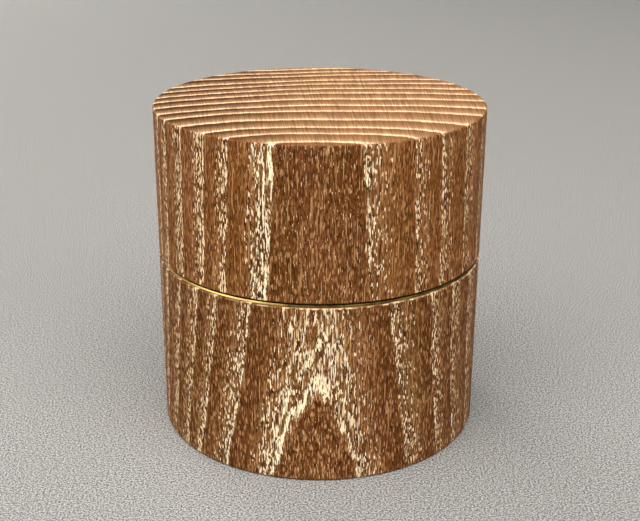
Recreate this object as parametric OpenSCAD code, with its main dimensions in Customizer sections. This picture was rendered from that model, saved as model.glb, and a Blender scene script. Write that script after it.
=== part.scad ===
// Cylindrical tea caddy for leaf tea.
// A body and a lid are turned from one block of mulberry, with the grain upright.
// Each is lined with sheet brass: the body holds a canister whose mouth stands up as a
// collar, and the lid's liner slides down over that collar. A round-edged brass ring lies
// on the body's rim. The liner's lower edge bears on it, and leaves a thin gap under the
// lid's wooden rim. A brass inner lid with a turned knob plugs the canister.
// Millimetres, +Z up, origin at the centre of the face that the caddy stands on.

/* [Caddy] */
// Outer diameter of the closed caddy
caddy_d = 76; // [70:0.5:90]
// Height of the closed caddy
caddy_h = 77; // [74:0.5:95]
// Height of the body's wooden rim, where the lid meets it
seam_z = 41.8; // [34:0.2:44]

/* [Wood] */
// Thickness of the body's side wall
body_wall = 3.2; // [2.4:0.1:5]
// Height of the body's inside floor above the table
body_floor_z = 4.5; // [3:0.1:8]
// Thickness of the lid's top
lid_top = 4.5; // [3:0.1:6]
// Radius on the lid's upper edge
top_edge_r = 0.5; // [0.2:0.1:1]
// Radius on the body's lower edge
foot_edge_r = 0.7; // [0.3:0.1:1.2]
// Bevel on the outer edge of each of the two rims
rim_bevel = 0.3; // [0.2:0.05:0.6]
// Depth of the shallow recess turned in the underside
foot_recess = 0.8; // [0.3:0.1:1.5]
// Width of the ring that the caddy stands on
foot_ring_w = 8; // [4:0.5:14]

/* [Brass] */
// Thickness of the sheet brass
sheet = 0.4; // [0.3:0.05:0.6]
// Thickness of the ring that the lid comes down on
ring_h = 0.5; // [0.4:0.05:0.8]
// Gap between that ring and the lid's wooden rim
rim_gap = 0.4; // [0.2:0.05:0.6]
// Height of the collar above the body's wooden rim
collar_h = 11; // [8:0.5:13]
// Radius of the roll at the canister's mouth
mouth_roll_r = 0.6; // [0.5:0.05:0.8]
// Radial gap of the lid's liner on the collar, and of the inner lid in the mouth
fit_gap = 0.08; // [0.05:0.01:0.1]

/* [Inner lid] */
// Depth of the skirt that plugs the canister's mouth
skirt_h = 5; // [4:0.5:7]
// Height of the step pressed into the plate
plate_step = 0.8; // [0.5:0.1:1]
// Height of the knob
knob_h = 8; // [6:0.5:9]
// Largest diameter of the knob
knob_d = 13; // [10:0.5:16]

/* [Hidden] */
$fn = 180;

wood_colour = [0.45, 0.28, 0.16];
brass_colour = [0.80, 0.62, 0.30];

outer_r = caddy_d / 2;

// The canister fills the body's bore, and its wall goes on upwards as the collar.
can_r = outer_r - body_wall;
can_inner_r = can_r - sheet;
collar_top = seam_z + collar_h;
mouth_r = can_r - 2 * mouth_roll_r;

// The lid's liner runs on the collar, and comes down on the brass ring.
ring_top = seam_z + ring_h;
lid_rim_z = ring_top + rim_gap;
lid_ceiling_z = caddy_h - lid_top;
liner_inner_r = can_r + fit_gap;
liner_r = liner_inner_r + sheet;
seam_ring_r = outer_r - 0.15;

// The inner lid's plate lies on the rolled mouth, with its skirt inside it.
plate_r = can_r - 0.3;
step_r = 0.7 * plate_r;
skirt_r = mouth_r - fit_gap;
knob_z = collar_top + plate_step + sheet;
screw_r = 1.2;
screw_hole_r = 1.3;
screw_depth = 5;
screw_head_r = 2.8;
screw_head_h = 1.5;
screw_slot_w = 0.6;
washer_r = 4.2;
washer_z = collar_top + plate_step - sheet;

// Points on an arc about centre c, from angle a0 to a1.
function arc(c, r, a0, a1, steps = 6) =
    [for (i = [0:steps]) let (a = a0 + (a1 - a0) * i / steps) c + r * [cos(a), sin(a)]];

// A solid of revolution about the caddy's axis, from its half section in (radius, height).
module turned(section) {
    rotate_extrude() polygon(section);
}

// A flat ring or a tube between two radii and two heights.
module ring(inner_r, r, z0, z1) {
    turned([[inner_r, z0], [r, z0], [r, z1], [inner_r, z1]]);
}

module body_shell() {
    foot_ring_inner_r = outer_r - foot_edge_r - foot_ring_w;
    color(wood_colour) turned(concat(
        [[0, foot_recess], [foot_ring_inner_r - foot_recess, foot_recess], [foot_ring_inner_r, 0]],
        arc([outer_r - foot_edge_r, foot_edge_r], foot_edge_r, -90, 0),
        [
            [outer_r, seam_z - rim_bevel], [outer_r - rim_bevel, seam_z],
            [can_r, seam_z], [can_r, body_floor_z], [0, body_floor_z]
        ]
    ));
}

// The wall's top edge is rolled inwards, which stiffens the mouth and leaves no sharp edge.
module can_wall() {
    roll_centre = [can_r - mouth_roll_r, collar_top - mouth_roll_r];
    roll_end = -acos((can_inner_r - roll_centre.x) / mouth_roll_r);
    color(brass_colour) turned(concat(
        [[can_inner_r, body_floor_z], [can_r, body_floor_z]],
        arc(roll_centre, mouth_roll_r, 0, 360 + roll_end, 16)
    ));
}

module can_floor() {
    color(brass_colour) turned([
        [0, body_floor_z], [can_inner_r, body_floor_z],
        [can_inner_r, body_floor_z + sheet], [0, body_floor_z + sheet]
    ]);
}

// Its outer edge is half round, and stands just short of the two wooden sides.
module seam_ring() {
    edge_r = ring_h / 2;
    color(brass_colour) turned(concat(
        [[can_r, seam_z]],
        arc([seam_ring_r - edge_r, seam_z + edge_r], edge_r, -90, 90),
        [[can_r, ring_top]]
    ));
}

module lid_shell() {
    color(wood_colour) turned(concat(
        [
            [0, lid_ceiling_z], [liner_r, lid_ceiling_z], [liner_r, lid_rim_z],
            [outer_r - rim_bevel, lid_rim_z], [outer_r, lid_rim_z + rim_bevel]
        ],
        arc([outer_r - top_edge_r, caddy_h - top_edge_r], top_edge_r, 0, 90),
        [[0, caddy_h]]
    ));
}

module lid_liner_wall() {
    color(brass_colour) ring(liner_inner_r, liner_r, ring_top, lid_ceiling_z - sheet);
}

module lid_liner_top() {
    color(brass_colour) turned([
        [0, lid_ceiling_z - sheet], [liner_r, lid_ceiling_z - sheet],
        [liner_r, lid_ceiling_z], [0, lid_ceiling_z]
    ]);
}

// A pressed disc. A step raises its middle, so that the screw's head clears the skirt's edge.
module inner_lid_plate() {
    low = collar_top;
    high = low + plate_step;
    color(brass_colour) turned([
        [screw_hole_r, high], [step_r - plate_step, high], [step_r, low], [plate_r, low],
        [plate_r, low + sheet], [step_r + sheet / 2, low + sheet],
        [step_r - plate_step + sheet / 2, high + sheet], [screw_hole_r, high + sheet]
    ]);
}

module inner_lid_skirt() {
    color(brass_colour) ring(skirt_r - sheet, skirt_r, collar_top - skirt_h, collar_top);
}

// Spool-shaped: a broad foot on the plate, a waist for the fingertips and a low domed top.
module inner_lid_knob() {
    top_r = knob_d / 2;
    foot_r = 0.72 * top_r;
    waist_r = 0.46 * top_r;
    waist_z = 0.36 * knob_h;
    flare_z = 0.72 * knob_h;
    dome_h = 0.12 * knob_h;
    flare = [for (i = [0:8]) let (t = i / 8) [
        waist_r + (top_r - waist_r) * (1 - cos(90 * t)), waist_z + (flare_z - waist_z) * sin(90 * t)
    ]];
    dome = [for (i = [0:6]) let (t = i / 6) [
        (top_r - 0.4) * (1 - t), knob_h - dome_h * pow(1 - t, 2)
    ]];
    color(wood_colour) translate([0, 0, knob_z]) difference() {
        turned(concat(
            [[0, 0], [foot_r - 0.3, 0], [foot_r, 0.3], [foot_r, 0.9], [waist_r + 0.5, 1.7]],
            flare, [[top_r, flare_z + 0.6]], dome
        ));
        translate([0, 0, -1]) cylinder(r = screw_r, h = screw_depth + 1);
    }
}

module knob_washer() {
    color(brass_colour) ring(screw_hole_r, washer_r, washer_z, washer_z + sheet);
}

// The shank goes up through the washer and the plate into the knob.
module knob_screw() {
    shank_top = knob_z + screw_depth;
    color(brass_colour) difference() {
        union() {
            translate([0, 0, washer_z - 0.2]) cylinder(r = screw_r, h = shank_top - washer_z + 0.2);
            turned(concat(
                [[0, washer_z - screw_head_h]],
                arc([screw_head_r - 1, washer_z - screw_head_h + 1], 1, -90, 0),
                [[screw_head_r, washer_z], [0, washer_z]]
            ));
        }
        translate([0, 0, washer_z - screw_head_h]) cube([8, screw_slot_w, 1.2], center = true);
    }
}

body_shell();
can_wall();
can_floor();
seam_ring();
lid_shell();
lid_liner_wall();
lid_liner_top();
inner_lid_plate();
inner_lid_skirt();
inner_lid_knob();
knob_washer();
knob_screw();
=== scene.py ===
"""Looks of a turned mulberry tea caddy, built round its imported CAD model."""

import math

import bpy
from mathutils import Euler, Matrix, Vector


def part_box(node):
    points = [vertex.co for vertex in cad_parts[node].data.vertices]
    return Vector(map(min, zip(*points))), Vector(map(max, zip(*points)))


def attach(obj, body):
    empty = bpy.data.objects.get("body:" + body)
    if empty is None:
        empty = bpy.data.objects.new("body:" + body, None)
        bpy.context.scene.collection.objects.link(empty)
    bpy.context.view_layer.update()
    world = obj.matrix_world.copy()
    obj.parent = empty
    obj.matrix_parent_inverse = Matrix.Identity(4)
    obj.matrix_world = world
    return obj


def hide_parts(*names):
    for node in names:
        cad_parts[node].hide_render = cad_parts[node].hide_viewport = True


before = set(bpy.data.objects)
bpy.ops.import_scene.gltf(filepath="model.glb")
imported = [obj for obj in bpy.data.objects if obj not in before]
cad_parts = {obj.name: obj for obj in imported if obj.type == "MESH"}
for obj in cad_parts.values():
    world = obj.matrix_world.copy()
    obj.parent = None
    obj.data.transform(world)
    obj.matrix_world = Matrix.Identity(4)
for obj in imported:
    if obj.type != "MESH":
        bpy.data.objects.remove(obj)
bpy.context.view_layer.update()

MM = 0.001
SEGMENTS = 288  # steps round the axis of a turned piece
SHARP_ANGLE = 40  # degrees between two faces, from which their edge is shaded as sharp
ON_AXIS = 1e-6  # mm, the radius under which a point lies on the axis


# ---------------------------------------------------------------- sizes in mm, from the frame

def low(node):
    return [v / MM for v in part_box(node)[0]]


def high(node):
    return [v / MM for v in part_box(node)[1]]


OUTER_R = high("lid_shell")[0]
TOP_Z = high("lid_shell")[2]
LID_RIM_Z = low("lid_shell")[2]
SEAM_Z = high("body_shell")[2]
CAN_R = high("can_wall")[0]
COLLAR_TOP = high("can_wall")[2]
CAN_FLOOR_Z = low("can_floor")[2]
SHEET = high("can_floor")[2] - CAN_FLOOR_Z
RING_R = high("seam_ring")[0]
LINER_R = high("lid_liner_wall")[0]
LINER_LOW = low("lid_liner_wall")[2]
CEILING_Z = high("lid_liner_top")[2]
PLATE_R = high("inner_lid_plate")[0]
PLATE_TOP = high("inner_lid_plate")[2]
SKIRT_R = high("inner_lid_skirt")[0]
SKIRT_LOW = low("inner_lid_skirt")[2]
KNOB_R = high("inner_lid_knob")[0]
KNOB_LOW = low("inner_lid_knob")[2]
KNOB_H = high("inner_lid_knob")[2] - KNOB_LOW
WASHER_R = high("knob_washer")[0]
WASHER_LOW = low("knob_washer")[2]

# Sizes that no node's box shows.
FOOT_RECESS = 0.8
FOOT_RING_W = 8
MOUTH_ROLL_R = 0.6
SCREW_HOLE_R = 1.3
STEP_R = 0.7 * PLATE_R

# Radii of the edges and bends.
FOOT_EDGE = 0.7
TOP_EDGE = 0.5
RECESS_EDGE = 0.4
WOOD_EDGE = 0.3
PRESSED_BEND = 0.3
PLATE_EDGE = 0.15
SHEET_EDGE = 0.12
HOLE_EDGE = 0.08


# ---------------------------------------------------------------- turned pieces

def fractions(steps):
    """The fractions from 0 to 1 in equal steps."""
    return [k / steps for k in range(steps + 1)]


def fillet(corners, steps=6):
    """Rounds each (radius, height, fillet) corner of a closed half section, and returns its points."""
    points = []
    count = len(corners)
    for i, (x, z, radius) in enumerate(corners):
        corner = Vector((x, z))
        if not radius:
            points.append(corner)
            continue
        before = (Vector(corners[i - 1][:2]) - corner).normalized()
        after = (Vector(corners[(i + 1) % count][:2]) - corner).normalized()
        half = before.angle(after) / 2
        reach = radius / math.tan(half)
        centre = corner + (before + after).normalized() * (radius / math.sin(half))
        spoke = corner + before * reach - centre
        sweep = spoke.angle_signed(corner + after * reach - centre)
        for t in fractions(steps):
            turn = -sweep * t
            points.append(centre + Vector((
                spoke.x * math.cos(turn) - spoke.y * math.sin(turn),
                spoke.x * math.sin(turn) + spoke.y * math.cos(turn),
            )))
    return points


def spin(section):
    """The corners and faces of a closed half section in mm, spun about the caddy's axis."""
    verts = []
    rings = []
    for radius, height in section:
        start = len(verts)
        if radius < ON_AXIS:
            rings.append([start] * SEGMENTS)
            verts.append((0, 0, height * MM))
            continue
        rings.append(range(start, start + SEGMENTS))
        for k in range(SEGMENTS):
            angle = 2 * math.pi * k / SEGMENTS
            verts.append((radius * math.cos(angle) * MM, radius * math.sin(angle) * MM, height * MM))
    faces = []
    for i, ring in enumerate(rings):
        after = rings[(i + 1) % len(rings)]
        along_axis = ring[0] == ring[1] and after[0] == after[1]
        if along_axis:
            continue
        for k in range(SEGMENTS):
            n = (k + 1) % SEGMENTS
            corners = [ring[k], ring[n], after[n], after[k]]
            faces.append(list(dict.fromkeys(corners)))
    return verts, faces


def turned(name, section, body, node, material):
    """Makes a turned piece, which rides on a body and stands for a CAD node."""
    verts, faces = spin(section)
    mesh = bpy.data.meshes.new(name)
    mesh.from_pydata(verts, [], faces)
    mesh.update()
    piece = bpy.data.objects.new(name, mesh)
    bpy.context.collection.objects.link(piece)
    mesh.polygons.foreach_set("use_smooth", [True] * len(mesh.polygons))
    mesh.set_sharp_from_angle(angle=math.radians(SHARP_ANGLE))
    weighted = piece.modifiers.new("flat faces stay flat", "WEIGHTED_NORMAL")
    weighted.keep_sharp = True
    mesh.materials.append(material)
    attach(piece, body)
    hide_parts(node)


# ---------------------------------------------------------------- node graphs, written as sums

class Field:
    """One socket of a shader graph, which adds, multiplies and compares as a number does."""

    def __init__(self, graph, socket):
        self.graph = graph
        self.socket = socket

    def math(self, operation, *others):
        node = self.graph.nodes.new("ShaderNodeMath")
        node.operation = operation
        for socket, value in zip(node.inputs, (self, *others)):
            self.graph.feed(socket, value)
        return Field(self.graph, node.outputs[0])

    def __add__(self, other):
        return self.math("ADD", other)

    def __sub__(self, other):
        return self.math("SUBTRACT", other)

    def __mul__(self, other):
        return self.math("MULTIPLY", other)

    def __truediv__(self, other):
        return self.math("DIVIDE", other)

    def __rsub__(self, other):
        return self * -1 + other

    def ramp(self, start, end, to_start=0.0, to_end=1.0):
        """Goes smoothly from to_start to to_end as this goes from start to end."""
        node = self.graph.nodes.new("ShaderNodeMapRange")
        node.interpolation_type = "SMOOTHSTEP"
        for socket, value in zip(node.inputs, (self, start, end, to_start, to_end)):
            self.graph.feed(socket, value)
        return Field(self.graph, node.outputs[0])

    def inverse(self):
        """The reverse of a mask: 1 where it is 0."""
        return 1 - self

    def absolute(self):
        return self.math("ABSOLUTE")

    def larger(self, other):
        return self.math("MAXIMUM", other)

    def smaller(self, other):
        return self.math("MINIMUM", other)


class Graph:
    """A material's node tree, with short names for the nodes that the materials below use."""

    def __init__(self, name):
        self.material = bpy.data.materials.new(name)
        self.material.use_nodes = True
        self.nodes = self.material.node_tree.nodes
        self.links = self.material.node_tree.links
        self.shader = self.nodes["Principled BSDF"]

    def feed(self, socket, value):
        if isinstance(value, Field):
            self.links.new(value.socket, socket)
        else:
            socket.default_value = value

    def position(self, turn=0.0):
        """The point on the piece, in mm, turned about the axis by an angle in degrees."""
        coords = self.nodes.new("ShaderNodeTexCoord")
        mapping = self.nodes.new("ShaderNodeMapping")
        mapping.inputs["Rotation"].default_value = (0, 0, math.radians(turn))
        mapping.inputs["Scale"].default_value = (1 / MM, 1 / MM, 1 / MM)
        self.links.new(coords.outputs["Object"], mapping.inputs["Vector"])
        return Field(self, mapping.outputs[0])

    def split(self, vector):
        node = self.nodes.new("ShaderNodeSeparateXYZ")
        self.feed(node.inputs[0], vector)
        return [Field(self, out) for out in node.outputs]

    def join(self, x, y, z):
        node = self.nodes.new("ShaderNodeCombineXYZ")
        for socket, value in zip(node.inputs, (x, y, z)):
            self.feed(socket, value)
        return Field(self, node.outputs[0])

    def end_grain(self):
        """1 on a face that cuts across the grain, and 0 on an upright face."""
        coords = self.nodes.new("ShaderNodeTexCoord")
        across = self.split(Field(self, coords.outputs["Normal"]))[2]
        return across.absolute().ramp(0.5, 0.9)

    def texture(self, kind, vector, size, seed):
        """A texture node whose pattern measures size mm along x, y and z. seed moves the pattern."""
        mapping = self.nodes.new("ShaderNodeMapping")
        mapping.inputs["Scale"].default_value = [1 / s for s in size]
        mapping.inputs["Location"].default_value = (seed, seed * 1.7, seed * 2.3)
        self.feed(mapping.inputs["Vector"], vector)
        node = self.nodes.new(kind)
        node.inputs["Scale"].default_value = 1.0
        self.links.new(mapping.outputs[0], node.inputs["Vector"])
        return node

    def noise(self, vector, size, detail=2.0, rough=0.5, seed=0.0):
        """Noise from 0 to 1, in patches of about size mm."""
        node = self.texture("ShaderNodeTexNoise", vector, size, seed)
        node.inputs["Detail"].default_value = detail
        node.inputs["Roughness"].default_value = rough
        return Field(self, node.outputs["Fac"])

    def cells(self, vector, size, seed=0.0):
        """Cells of about size mm: the distance from each one's middle, and two random numbers for it."""
        node = self.texture("ShaderNodeTexVoronoi", vector, size, seed)
        chance, shade, _ = self.split(Field(self, node.outputs["Color"]))
        return Field(self, node.outputs["Distance"]), chance, shade

    def curve(self, value, pairs):
        """A piecewise straight function through (from, to) pairs, both in the range 0 to 1."""
        node = self.nodes.new("ShaderNodeFloatCurve")
        points = node.mapping.curves[0].points
        while len(points) < len(pairs):
            points.new(0.5, 0.5)
        for point, pair in zip(points, pairs):
            point.location = pair
            point.handle_type = "VECTOR"
        node.mapping.update()
        self.feed(node.inputs["Value"], value)
        return Field(self, node.outputs[0])

    def blend(self, amount, a, b):
        """Colour a where amount is 0, and b where it is 1."""
        node = self.nodes.new("ShaderNodeMix")
        node.data_type = "RGBA"
        node.clamp_factor = True
        self.feed(node.inputs["Factor"], amount)
        for socket, colour in ((node.inputs[6], a), (node.inputs[7], b)):
            self.feed(socket, colour if isinstance(colour, Field) else (*colour, 1))
        return Field(self, node.outputs[2])

    def tint(self, colour, factor):
        """A colour made lighter or darker by a factor."""
        node = self.nodes.new("ShaderNodeVectorMath")
        node.operation = "SCALE"
        self.feed(node.inputs[0], colour)
        self.feed(node.inputs["Scale"], factor)
        return Field(self, node.outputs[0])

    def bump(self, height, depth, strength):
        """Relief, where height goes from 0 to 1 over a depth in mm."""
        node = self.nodes.new("ShaderNodeBump")
        node.inputs["Strength"].default_value = strength
        node.inputs["Distance"].default_value = depth * MM
        self.feed(node.inputs["Height"], height)
        self.links.new(node.outputs[0], self.shader.inputs["Normal"])


# ---------------------------------------------------------------- mulberry

# Where each year's pale early wood starts, in mm from the block's middle along the growth direction.
RINGS = (-50, -42.8, -35.3, -29, -24, -17.5, -10, -4.5, 2, 8, 13, 18.5, 23, 29, 33, 37, 43)

# How dense each of those years' vessels are.
BODY_VIGOUR = (0.8, 0.86, 0.78, 0.80, 0.78, 0.82, 0.8, 0.7, 0.8, 0.8, 0.7, 0.7, 0.9, 0.8, 1.0, 0.9, 0.9)
LID_VIGOUR = (0.9, 0.9, 1.0, 1.0, 1.0, 0.95, 0.9, 0.8, 0.7, 0.8, 0.7, 0.8, 0.8, 0.9, 0.9, 1.0, 0.9)

# How the rings shift along the grain: base, middle height, taper, bend and peak.
BODY_RISE = (-5.3, 21.5, 0.10, 0.001, 0.34)
LID_RISE = (0.0, TOP_Z, 0.025, 0.0, 0.0)
KNOB_RISE = (3.0, 0.0, 0.03, 0.0, 0.0)

# Rows of vessels: place in the year, half width and wander as parts of the year, gain and noise seed.
VESSEL_ROWS = (
    (0.000, 0.032, 0.13, 1.12, 71),
    (0.095, 0.030, 0.20, 0.95, 75),
    (0.190, 0.026, 0.20, 0.80, 79),
    (0.300, 0.026, 0.24, 0.62, 87),
    (0.410, 0.024, 0.24, 0.50, 91),
)

# How dense the vessels are left of the middle. Each wood has its own value for the right.
LEFT_DENSITY = 1.25

# Colours of an upright face: its ground, early wood's haze, fibres and pores, and pale vessels.
GROUND = (0.132, 0.050, 0.011)
GROUND_RED = (0.148, 0.052, 0.017)
HAZE = (0.310, 0.160, 0.060)
DARK = (0.034, 0.004, 0.000)
DASH = (0.470, 0.245, 0.105)
FLECK = (0.720, 0.440, 0.235)
PALE = (0.950, 0.820, 0.550)
PALE_FAR = (0.920, 0.690, 0.420)
# The pale rim edge: partly wear, partly a painted highlight.
WORN_AND_HIGHLIGHT = (0.800, 0.600, 0.340)

# Colours of a face across the grain: partly the wood's own, and partly painted light, made paler for the
# top, which the light falls on most.
END_GROUND_LIT = (0.262, 0.124, 0.052)
END_LATE = (0.050, 0.016, 0.001)
END_PALE = (0.740, 0.520, 0.315)


def growth_distance(x, y, z, rise, lean):
    """Distance in mm in the direction of growth, which is +Y at the middle of the rings' arcs."""
    base, middle, taper, bend, peak = rise

    # The arcs' middle drifts to +X with depth. They curve most towards the heart, which is at -Y,
    # turn up at both ends, and flatten again at the far left.
    depth = y + OUTER_R
    across = x - depth.ramp(0, 70, 0, 23)
    square = across * across
    curved = (depth * (-1 / 6.2)).math("EXPONENT") * 0.0157 + 0.002
    upturned = (depth * (-1 / 52)).math("EXPONENT") * 3.7e-6
    far_left = (across + 30).smaller(0)
    growth = y + (square * curved + square * square * upturned) - far_left * far_left * 0.013

    # Up the grain, the rings taper, bend and lean. Near the middle they are drawn out to a point.
    above = z - middle
    growth = growth + above * taper - above * above * bend + x * above * lean
    return growth + x.absolute().ramp(0, 6) * peak + base


class Block:
    """The block of wood that a piece is cut from, as fields: places in mm, and masks from 0 to 1."""

    def __init__(self, g, rise, vigour, turn, lean):
        self.point = g.position(turn)
        self.x, self.y, self.z = g.split(self.point)
        sway = g.noise(self.point, (16, 16, 60), detail=1) - 0.5
        ripple = g.noise(self.point, (1.6, 1.6, 9), seed=3) - 0.5
        self.growth = growth_distance(self.x, self.y, self.z, rise, lean) + sway * 1.6 + ripple

        # phase runs through each year, from -0.1 to 0.9, and is 0 where its early wood starts.
        first = RINGS[0]
        span = RINGS[-1] - first
        steps = len(RINGS) - 1
        pairs = [((ring - first) / span, i / steps) for i, ring in enumerate(RINGS)]
        year = g.curve((self.growth - first) / span, pairs) * steps
        whole = (year + 0.10).math("FLOOR")
        self.phase = year - whole
        self.vigour = g.curve(whole / steps, list(zip(fractions(steps), vigour)))

        # Early wood starts sharply and fades outwards. Late wood ends the year with a dark line.
        self.early = self.phase.ramp(-0.055, -0.035)
        self.haze = self.early * self.phase.ramp(0.0, 0.80, 1, 0)
        self.late = self.phase.ramp(0.35, 0.85).larger(self.phase.ramp(-0.085, -0.055, 1, 0))
        self.drift = g.noise(self.point, (7, 7, 20), detail=1, seed=23).ramp(0.35, 0.65)

        # An upright face runs along the rings at the front and the back, and cuts them at the sides.
        self.along = self.x.absolute().ramp(6, 16, 1, 0)


def vessel_density(g, block, right):
    """How many vessels there are. A year opens with rows of them, which wander and break off."""
    rows = 0.0
    for place, width, reach, gain, seed in VESSEL_ROWS:
        wander = (g.noise(block.point, (1.2, 1.2, 5), seed=seed) - 0.5) * reach
        run = g.noise(block.point, (1.6, 1.6, 5), seed=seed + 1).ramp(0.34, 0.52, 0.35, 1)
        away = (block.phase + wander - place).absolute()
        rows = (away.ramp(width * 0.5, width * 1.5, 1, 0) * run * gain).larger(rows)
    scatter = block.early * block.phase.ramp(0.10, 0.45, 1, 0) * (block.drift * 0.30 + 0.20)
    sides = block.x.ramp(-14, 8, LEFT_DENSITY, right) + block.x.ramp(12, 24, 0, 0.18)
    return rows.larger(scatter) * block.vigour * sides


def vessel_flecks(g, block, density):
    """A mask of the vessels that an upright face opens, and the shade of each from 0 to 1.

    They are short grains, longer ones where the face runs along the rings, and strands.
    """
    near, chance, shade = g.cells(block.point, (0.31, 0.31, 1.15), seed=7)
    edge = density * 0.06 + 0.33
    odds = (density * (block.along * 0.4).inverse()).smaller(0.84)
    grain = near.ramp(edge, edge + 0.20, 1, 0) * (odds - chance).ramp(0, 0.06)

    near, chance, long_shade = g.cells(block.point, (0.28, 0.28, 3.2), seed=47)
    long_grain = near.ramp(0.34, 0.56, 1, 0) * (density * block.along - chance).ramp(0, 0.06)

    strand = g.noise(block.point, (0.23, 0.23, 1.7), rough=0.65, seed=83)
    limit = density.ramp(0.35, 1, 0.66, 0.48) + block.along.inverse() * 0.07
    fleck = grain.larger(long_grain).larger(strand.ramp(limit - 0.02, limit + 0.03))
    return fleck, shade.larger(long_shade * long_grain)


def fibres(g, block):
    """Masks of pale dashes, dark pores among them and long thin threads, and each dash's shade."""
    near, chance, shade = g.cells(block.point, (0.25, 0.25, 1.5), seed=11)
    plenty = block.z.ramp(15, 60, 0.45, 0.40) + block.along * block.z.ramp(15, 45, 0.12, 0)
    dash = near.ramp(0.32, 0.56, 1, 0) * (block.haze * 0.25 + plenty - chance).ramp(0, 0.05)
    pore = near.ramp(0.30, 0.54, 1, 0) * chance.ramp(0.84, 0.88)

    near, chance, _ = g.cells(block.point, (0.25, 0.25, 6.5), seed=51)
    thread = near.ramp(0.30, 0.54, 1, 0) * (block.haze * 0.30 + 0.16 - chance).ramp(0, 0.05)
    return dash, pore, thread, shade


def side_face(g, block, right, flanks, rubbed_and_lit_z):
    """Colour, roughness and relief of an upright face."""
    density = vessel_density(g, block, right)
    fleck, shade = vessel_flecks(g, block, density)
    dash, pore, thread, dash_shade = fibres(g, block)
    fibre = g.noise(block.point, (0.26, 0.26, 1.5), rough=0.65, seed=29)
    pit = density.ramp(0.15, 0.6) * fleck.inverse() * fibre.ramp(0.35, 0.60, 1, 0.6)

    patch = g.noise(block.point, (9, 9, 40), seed=5).ramp(0.3, 0.7)
    side = g.tint(g.blend(patch, GROUND, GROUND_RED), fibre.ramp(0.38, 0.62, 0.44, 1.42))
    side = g.tint(side, block.along.ramp(0, 1, flanks, 1))
    side = g.blend(density * (block.along * -0.25 + 0.35) + block.haze * block.drift * 0.25, side, HAZE)
    side = g.blend(block.late * 0.22, side, DARK)
    bright = dash * dash_shade.ramp(0, 1, 0.22, 1) * block.z.ramp(15, 60, 1.30, 0.95)
    side = g.blend(bright.larger(thread * 0.8), side, DASH)
    side = g.blend((pore * 0.8).larger(pit), side, DARK)
    pale = g.blend(block.growth.ramp(-34, -26), PALE, PALE_FAR)
    side = g.blend(fleck, side, g.blend(shade * 0.55 + density * 0.65, FLECK, pale))
    # The rim's edge is painted pale: wear from handling, and a painted highlight where its bevel catches
    # the light, fading out towards the left.
    if rubbed_and_lit_z is not None:
        lip = (block.z - rubbed_and_lit_z).absolute().ramp(0.20, 0.50, 1, 0)
        wear_and_glint = g.noise(block.point, (1.6, 1.6, 3), detail=3, rough=0.6, seed=61).ramp(0.42, 0.62)
        side = g.blend(lip * wear_and_glint * block.x.ramp(-28, 2, 0.1, 1.0), side, WORN_AND_HIGHLIGHT)

    roughness = fleck * 0.12 + pore * 0.08 + 0.50
    relief = fleck * 0.4 + dash * 0.2 - pore * 0.4 - pit * 0.4 + 0.4
    return side, roughness, relief


def end_face(g, block):
    """Colour of a face across the grain.

    Early wood is a bright band, and late wood darkens up to the next one. Rays run out from the
    heart as a fine hatch. Painted shade darkens the face towards the left.
    """
    fan = (block.x - 24) * ((block.y + OUTER_R) * 0.003).inverse()
    hatch = g.noise(g.join(fan, block.growth, block.z), (0.18, 10, 1.6), detail=0, seed=17)
    # Painted shade: the end face is darker towards the left, and its late wood is darker there too.
    left = block.x.ramp(-36, 8, 1.0, 0.0)
    back = block.y.ramp(0, 25, 0, 0.16)
    turning = block.phase.ramp(0.15, 0.70) * block.early * (left * 0.25 + 0.10)
    band = block.phase.ramp(-0.060, -0.020) * block.phase.ramp(0.05, 0.19, 1, 0)
    glow = g.noise(block.point, (7, 2.5, 20), seed=37).ramp(0.3, 0.7, 0.60, 1.0)

    face = g.tint(END_GROUND_LIT, left * -0.30 + 1)
    face = g.blend(turning + block.late * (left * 0.45 + back + 0.28), face, END_LATE)
    face = g.blend(block.early * block.phase.ramp(0.0, 0.50, 1, 0) * 0.22, face, END_PALE)
    face = g.blend(band * glow, face, END_PALE)
    return g.tint(face, hatch.ramp(0.25, 0.75, 0.70, 1.30))


def mulberry(name, rise, vigour, turn=0.0, lean=0.0, right=0.9, flanks=1.0, rubbed_and_lit_z=None):
    """Open-pored, ring-porous wood, with the same block of grain seen on every face that cuts it.

    rise is (base, middle, taper, bend, peak): how far the rings shift along the grain from a middle
    height, and how far an arch of the figure is drawn out to a point.
    vigour is how dense each year's vessels are, from the first of RINGS on.
    turn, in degrees, and lean set the block at an angle to the piece.
    right is how dense the vessels are just right of the middle, where LEFT_DENSITY is on the left.
    flanks is how light the sides, cut across the rings, are against the front and the back.
    rubbed_and_lit_z is the height of an edge made pale, partly rubbed by handling and partly a painted
    highlight where its bevel catches the light.
    """
    g = Graph(name)
    block = Block(g, rise, vigour, turn, lean)
    side, roughness, relief = side_face(g, block, right, flanks, rubbed_and_lit_z)
    g.feed(g.shader.inputs["Base Color"], g.blend(g.end_grain(), side, end_face(g, block)))
    g.feed(g.shader.inputs["Roughness"], roughness)
    g.shader.inputs["Specular IOR Level"].default_value = 0.03
    g.bump(relief, depth=0.05, strength=0.5)
    return g.material


# ---------------------------------------------------------------- brass

# Colours of the metal, and of the tarnish on it. The ring's dark colour is partly patina and partly
# painted shade.
SHEET_COLOUR = (0.72, 0.50, 0.20)
SHEET_TARNISH = (0.30, 0.17, 0.06)
TURNED_COLOUR = (0.83, 0.61, 0.25)
TURNED_TARNISH = (0.34, 0.20, 0.07)
RING_COLOUR = (0.95, 0.68, 0.22)
RING_PATINA_AND_SHADE = (0.07, 0.042, 0.012)

# The stretch along X, in mm, where the ring is painted bright, as a reflection of the light. Beyond it
# the ring is painted in shade.
RING_PAINTED_GLINT = (-34.5, -12)


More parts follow.
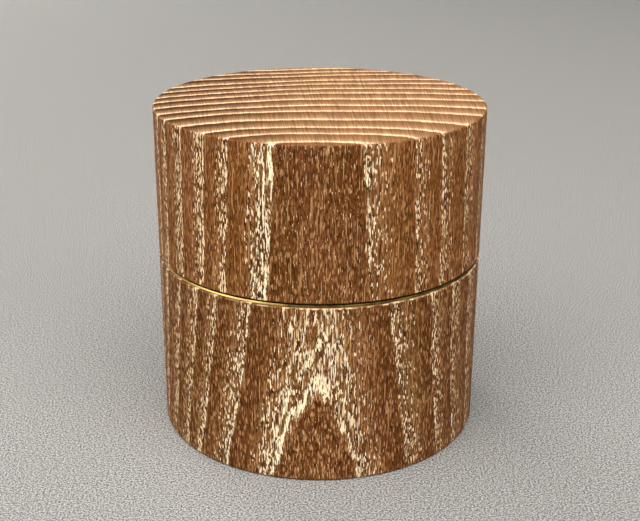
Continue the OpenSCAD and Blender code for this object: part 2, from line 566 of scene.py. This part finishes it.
def brass(name, colour, tarnish, roughness, lines, bright=None):
    """Metal with fine lathe lines round the axis, lines mm wide, and tarnish in soft patches.

    bright is (from, to), in mm along x: the metal is left bright there, as a painted reflection of the
    light, and painted shade darkens it beyond.
    """
    g = Graph(name)
    point = g.position()
    x, y, z = g.split(point)
    radius = (x * x + y * y).math("SQRT")
    line = g.noise(g.join(radius, 0.0, z), (lines, 1, lines), detail=3, rough=0.7)
    cloud = g.noise(point, (5, 5, 4), detail=4, rough=0.6, seed=2)
    spot = g.noise(point, (1.1, 1.1, 1.1), detail=3, seed=9).ramp(0.60, 0.74)
    stain_and_shade = cloud.ramp(0.42, 0.72) * 0.55 + spot * 0.35
    if bright:
        start, stop = bright
        # Painted highlight and shade: the ring stays bright inside the stretch and is darkened beyond it,
        # along a wavering edge.
        streak = (g.noise(point, (4, 4, 9), detail=3, rough=0.6, seed=13) - 0.5) * 16
        painted_shade = (x - start).ramp(-2, 3, 1, 0) + (x + streak - stop).ramp(-8, 8)
        stain_and_shade = painted_shade * 0.9 + stain_and_shade * 0.4
    g.feed(g.shader.inputs["Base Color"], g.blend(stain_and_shade, colour, tarnish))
    g.shader.inputs["Metallic"].default_value = 1.0
    g.feed(g.shader.inputs["Roughness"], line * 0.12 + stain_and_shade * 0.22 + roughness)
    g.bump(line, depth=0.01, strength=0.4)
    return g.material


# ---------------------------------------------------------------- the caddy

def build_body(wood, sheet, polished):
    foot_ring_r = OUTER_R - FOOT_EDGE - FOOT_RING_W
    turned("body_wood", fillet([
        (0, FOOT_RECESS, 0), (foot_ring_r - FOOT_RECESS, FOOT_RECESS, RECESS_EDGE),
        (foot_ring_r, 0, WOOD_EDGE), (OUTER_R, 0, FOOT_EDGE), (OUTER_R, SEAM_Z, WOOD_EDGE),
        (CAN_R, SEAM_Z, 0), (CAN_R, CAN_FLOOR_Z, 0), (0, CAN_FLOOR_Z, 0),
    ]), "caddy_body", "body_shell", wood)

    # The wall's top edge is rolled inwards until it meets the wall's inner face again.
    inner_r = CAN_R - SHEET
    roll = Vector((CAN_R - MOUTH_ROLL_R, COLLAR_TOP - MOUTH_ROLL_R))
    wrap = 2 * math.pi - math.acos((MOUTH_ROLL_R - SHEET) / MOUTH_ROLL_R)
    section = [Vector((inner_r, CAN_FLOOR_Z)), Vector((CAN_R, CAN_FLOOR_Z))]
    for t in fractions(24):
        section.append(roll + Vector((math.cos(wrap * t), math.sin(wrap * t))) * MOUTH_ROLL_R)
    turned("canister_wall", section, "caddy_body", "can_wall", sheet)

    turned("canister_floor", fillet([
        (0, CAN_FLOOR_Z, 0), (inner_r, CAN_FLOOR_Z, 0),
        (inner_r, CAN_FLOOR_Z + SHEET, SHEET_EDGE), (0, CAN_FLOOR_Z + SHEET, 0),
    ]), "caddy_body", "can_floor", sheet)

    # The ring's edge slopes back a little, so that it catches the light from above.
    thick = LINER_LOW - SEAM_Z
    turned("seam_bead", fillet([
        (CAN_R, SEAM_Z, 0), (RING_R, SEAM_Z, thick * 0.25),
        (RING_R - thick * 0.4, LINER_LOW, thick * 0.3), (CAN_R, LINER_LOW, 0),
    ], steps=10), "caddy_body", "seam_ring", polished)


def build_lid(wood, sheet):
    turned("lid_wood", fillet([
        (0, CEILING_Z, 0), (LINER_R, CEILING_Z, 0), (LINER_R, LID_RIM_Z, 0),
        (OUTER_R, LID_RIM_Z, WOOD_EDGE), (OUTER_R, TOP_Z, TOP_EDGE), (0, TOP_Z, 0),
    ]), "lid", "lid_shell", wood)

    inner_r = LINER_R - SHEET
    turned("lid_liner", fillet([
        (inner_r, LINER_LOW, SHEET_EDGE), (LINER_R, LINER_LOW, SHEET_EDGE),
        (LINER_R, CEILING_Z - SHEET, 0), (inner_r, CEILING_Z - SHEET, 0),
    ]), "lid", "lid_liner_wall", sheet)

    turned("lid_ceiling", fillet([
        (0, CEILING_Z - SHEET, 0), (LINER_R, CEILING_Z - SHEET, 0),
        (LINER_R, CEILING_Z, 0), (0, CEILING_Z, 0),
    ]), "lid", "lid_liner_top", sheet)


def knob_section():
    """Half section of the knob: a broad foot, a waist that flares out to the rim, and a low crown."""
    foot_r = 0.72 * KNOB_R
    foot_h = 1.0
    waist_r = 0.46 * KNOB_R
    waist_z = 0.36 * KNOB_H
    flare_h = 0.36 * KNOB_H
    rim_h = 0.6
    crown_r = KNOB_R - 0.4
    crown_h = 0.12 * KNOB_H
    section = fillet([(0, 0, 0), (foot_r, 0, 0.3), (foot_r, foot_h, 0.25), (0, foot_h, 0)])[:-1]
    section.append(Vector((waist_r + 0.5, foot_h + 0.7)))
    for t in fractions(16):
        angle = math.pi / 2 * t
        section.append(Vector((
            waist_r + (KNOB_R - waist_r) * (1 - math.cos(angle)), waist_z + flare_h * math.sin(angle)
        )))
    section.append(Vector((KNOB_R, waist_z + flare_h + rim_h)))
    for t in reversed(fractions(12)):
        section.append(Vector((crown_r * t, KNOB_H - crown_h * t * t)))
    return [point + Vector((0, KNOB_LOW)) for point in section]


def build_inner_lid(wood, sheet, polished):
    # The plate's middle is pressed up by a step with a slope of 45 degrees.
    step_h = PLATE_TOP - SHEET - COLLAR_TOP
    raised_r = STEP_R - step_h
    turned("inner_lid_disc", fillet([
        (SCREW_HOLE_R, PLATE_TOP - SHEET, 0), (raised_r, PLATE_TOP - SHEET, PRESSED_BEND),
        (STEP_R, COLLAR_TOP, PRESSED_BEND), (PLATE_R, COLLAR_TOP, PLATE_EDGE),
        (PLATE_R, COLLAR_TOP + SHEET, PLATE_EDGE),
        (STEP_R + SHEET / 2, COLLAR_TOP + SHEET, PRESSED_BEND),
        (raised_r + SHEET / 2, PLATE_TOP, PRESSED_BEND), (SCREW_HOLE_R, PLATE_TOP, 0),
    ]), "inner_lid", "inner_lid_plate", sheet)

    turned("inner_lid_plug", fillet([
        (SKIRT_R - SHEET, SKIRT_LOW, SHEET_EDGE), (SKIRT_R, SKIRT_LOW, SHEET_EDGE),
        (SKIRT_R, COLLAR_TOP, 0), (SKIRT_R - SHEET, COLLAR_TOP, 0),
    ]), "inner_lid", "inner_lid_skirt", sheet)

    turned("inner_lid_washer", fillet([
        (SCREW_HOLE_R, WASHER_LOW, HOLE_EDGE), (WASHER_R, WASHER_LOW, SHEET_EDGE),
        (WASHER_R, WASHER_LOW + SHEET, SHEET_EDGE), (SCREW_HOLE_R, WASHER_LOW + SHEET, HOLE_EDGE),
    ]), "inner_lid", "knob_washer", polished)

    turned("inner_lid_handle", knob_section(), "inner_lid", "inner_lid_knob", wood)


# ---------------------------------------------------------------- floor, light and camera

FLOOR_HALF = 1.1
FLOOR_DARK = (0.080, 0.077, 0.073)
FLOOR_PALE = (0.385, 0.376, 0.358)

MIDDLE = (0, 0, TOP_Z / 2 * MM)
FAR_FLOOR = (-0.28, 0.70, 0)

# Soft lights: name, place and aim in metres, width and height, watts and colour.
LIGHTS = (
    ("overhead", (-0.10, -0.48, 1.12), MIDDLE, (1.5, 1.3), 30.0, (1.0, 0.985, 0.96)),
    ("window", (-1.15, -0.55, 0.55), MIDDLE, (1.3, 0.8), 6.2, (1.0, 0.98, 0.95)),
    ("room", (0.95, -0.80, 0.70), MIDDLE, (0.9, 0.8), 7.0, (1.0, 0.98, 0.95)),
    ("far_left", (-0.75, 1.15, 0.60), FAR_FLOOR, (0.6, 0.6), 13.0, (1.0, 0.985, 0.96)),
)
AIR_COLOUR = (0.62, 0.61, 0.59, 1)
AIR_STRENGTH = 0.46

# The camera's place, in radii of the caddy, and its angles in degrees.
CAMERA_BACK = 6.723
CAMERA_UP = 3.602
CAMERA_DOWN_ANGLE = 21.19
CAMERA_TURN = -0.04
CAMERA_ROLL = 0.25
SENSOR_MM = 36.0
LENS_MM = 63.9


def build_floor():
    h = FLOOR_HALF
    mesh = bpy.data.meshes.new("floor")
    mesh.from_pydata([(-h, -h, 0), (h, -h, 0), (h, h, 0), (-h, h, 0)], [], [(0, 1, 2, 3)])
    floor = bpy.data.objects.new("floor", mesh)
    bpy.context.collection.objects.link(floor)
    g = Graph("floor_paper")
    grain = g.noise(g.position(), (0.42, 0.42, 0.42), rough=0.8).ramp(0.40, 0.60)
    g.feed(g.shader.inputs["Base Color"], g.blend(grain, FLOOR_DARK, FLOOR_PALE))
    g.shader.inputs["Roughness"].default_value = 0.9
    g.shader.inputs["Specular IOR Level"].default_value = 0.2
    mesh.materials.append(g.material)


def build_light():
    for name, place, aim, size, power, colour in LIGHTS:
        light = bpy.data.lights.new(name, "AREA")
        light.shape = "RECTANGLE"
        light.size, light.size_y = size
        light.energy = power
        light.color = colour
        lamp = bpy.data.objects.new(name, light)
        bpy.context.collection.objects.link(lamp)
        lamp.location = place
        lamp.rotation_euler = (Vector(aim) - Vector(place)).to_track_quat("-Z", "Y").to_euler()
    world = bpy.data.worlds.new("room")
    world.use_nodes = True
    air = world.node_tree.nodes["Background"]
    air.inputs["Color"].default_value = AIR_COLOUR
    air.inputs["Strength"].default_value = AIR_STRENGTH
    bpy.context.scene.world = world


def build_camera():
    camera = bpy.data.objects.new("camera", bpy.data.cameras.new("camera"))
    bpy.context.collection.objects.link(camera)
    camera.data.sensor_width = SENSOR_MM
    camera.data.lens = LENS_MM
    camera.data.clip_start = 0.01
    camera.location = (0, -CAMERA_BACK * OUTER_R * MM, CAMERA_UP * OUTER_R * MM)
    aim = Euler((math.radians(90 - CAMERA_DOWN_ANGLE), 0, math.radians(CAMERA_TURN))).to_matrix()
    roll = Matrix.Rotation(math.radians(CAMERA_ROLL), 3, "Z")
    camera.rotation_euler = (aim @ roll).to_euler()
    bpy.context.scene.camera = camera


build_camera()
build_light()
build_floor()

body_wood = mulberry(
    "mulberry_body", BODY_RISE, BODY_VIGOUR,
    turn=-0.2, lean=-0.0014, right=0.88, flanks=0.94, rubbed_and_lit_z=SEAM_Z,
)
lid_wood = mulberry("mulberry_lid", LID_RISE, LID_VIGOUR, right=0.66, flanks=1.36)
knob_wood = mulberry("mulberry_knob", KNOB_RISE, LID_VIGOUR)
sheet_brass = brass("sheet_brass", SHEET_COLOUR, SHEET_TARNISH, roughness=0.28, lines=0.12)
turned_brass = brass("turned_brass", TURNED_COLOUR, TURNED_TARNISH, roughness=0.14, lines=0.08)
ring_brass = brass("ring_brass", RING_COLOUR, RING_PATINA_AND_SHADE, roughness=0.22, lines=0.08, bright=RING_PAINTED_GLINT)

build_body(body_wood, sheet_brass, ring_brass)
build_lid(lid_wood, sheet_brass)
build_inner_lid(knob_wood, sheet_brass, turned_brass)

# The screw keeps its CAD shape.
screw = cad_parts["knob_screw"]
screw.material_slots[0].material = turned_brass

bpy.context.scene.view_settings.view_transform = "Standard"
